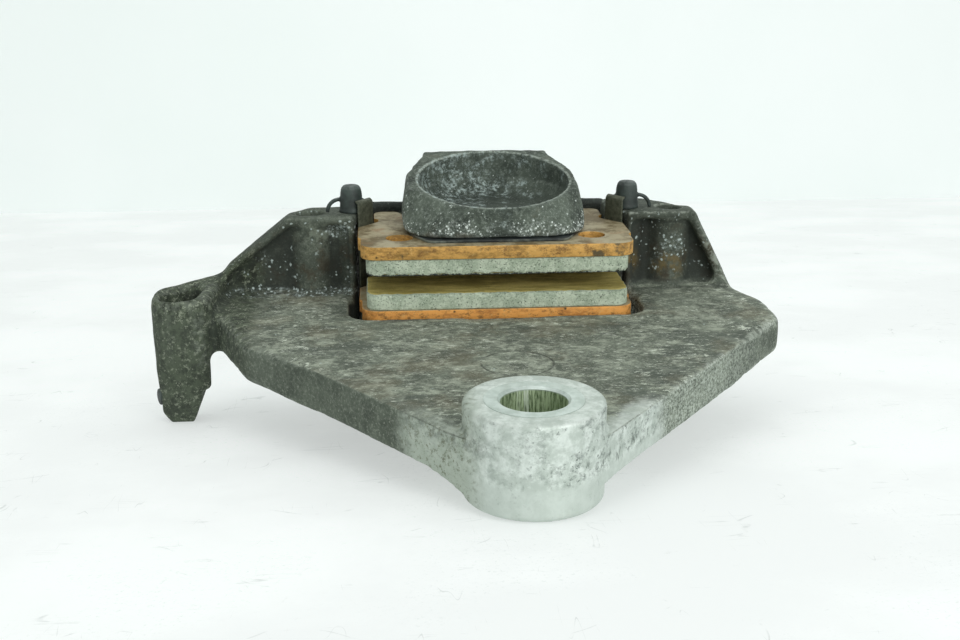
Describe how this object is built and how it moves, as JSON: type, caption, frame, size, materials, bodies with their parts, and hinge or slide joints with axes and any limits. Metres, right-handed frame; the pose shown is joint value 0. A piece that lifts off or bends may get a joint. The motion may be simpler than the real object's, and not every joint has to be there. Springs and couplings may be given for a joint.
{
  "type": "brake caliper",
  "caption": "Sliding rear brake caliper on a triangular axle bracket, with an axle boss, a torque leg, two pads and a disc slot.",
  "frame": {"origin": "on the wheel axle's axis, at the lower face of the bracket's axle boss", "axes": "+Z along the axle bore, parallel to the disc's axis, from the piston side to the outer arm; +Y from the axle towards the pads; +X to the right when seen from the axle"},
  "size_m": [0.2009, 0.193, 0.0785],
  "materials": {
    "cast_bracket": "weathered die-cast aluminium, dull, dark",
    "bare_boss": "bare machined aluminium, satin",
    "cast_caliper": "weathered die-cast aluminium with white corrosion specks",
    "black_rubber": "matt black rubber",
    "spring_steel": "dull spring steel",
    "zinc_steel": "zinc plated steel, satin",
    "piston_chrome": "hard chromed steel, polished",
    "brass_screw": "yellow passivated, satin",
    "copper_plate": "copper-toned plated steel, worn, rust-stained edges",
    "friction_lining": "pressed friction compound, grey-green, speckled",
    "shim_black": "black insulating sheet, matt"
  },
  "bodies": {
    "carrier": {"carrier_bracket": "cast_bracket", "axle_sleeve": "bare_boss", "leg_plug": "black_rubber", "pad_clip_left": "spring_steel", "pad_clip_right": "spring_steel", "pin_cap_left": "black_rubber", "pin_cap_right": "black_rubber"},
    "caliper": {"caliper_body": "cast_caliper", "slide_pin_left": "zinc_steel", "slide_pin_right": "zinc_steel", "pin_bolts": "zinc_steel", "pin_boot_left": "black_rubber", "pin_boot_right": "black_rubber", "piston_seal": "black_rubber", "dust_seal": "black_rubber", "pad_spring": "spring_steel"},
    "piston": {"piston": "piston_chrome"},
    "bleeder": {"bleed_screw": "brass_screw", "bleed_cap": "black_rubber"},
    "inner_pad": {"inner_backing_plate": "copper_plate", "inner_lining": "friction_lining", "inner_shim": "shim_black"},
    "outer_pad": {"outer_backing_plate": "copper_plate", "outer_lining": "friction_lining", "outer_shim": "shim_black"}
  },
  "joints": [
    {"name": "caliper_slide", "type": "slide", "parent": "carrier", "child": "caliper", "axis": [0, 0, 1], "range_m": [-0.0026, 0.001], "deforming": ["pin_boot_left", "pin_boot_right"]},
    {"name": "piston_slide", "type": "slide", "parent": "caliper", "child": "piston", "axis": [0, 0, 1], "range_m": [-0.002, 0.0052]},
    {"name": "inner_pad_slide", "type": "slide", "parent": "carrier", "child": "inner_pad", "axis": [0, 0, 1], "range_m": [-0.001, 0.0026]},
    {"name": "outer_pad_slide", "type": "slide", "parent": "carrier", "child": "outer_pad", "axis": [0, 0, 1], "range_m": [-0.0026, 0.001]},
    {"name": "bleed_turn", "type": "hinge", "parent": "caliper", "child": "bleeder", "pos_m": [-0.0125, 0.163, -0.0055], "axis": [0, 1, 0], "range_deg": [0, 180]}
  ],
  "couplings": [
    {"joint": "piston_slide", "follows": "caliper_slide", "ratio": -2},
    {"joint": "inner_pad_slide", "follows": "caliper_slide", "ratio": -1},
    {"joint": "outer_pad_slide", "follows": "caliper_slide", "ratio": 1}
  ]
}
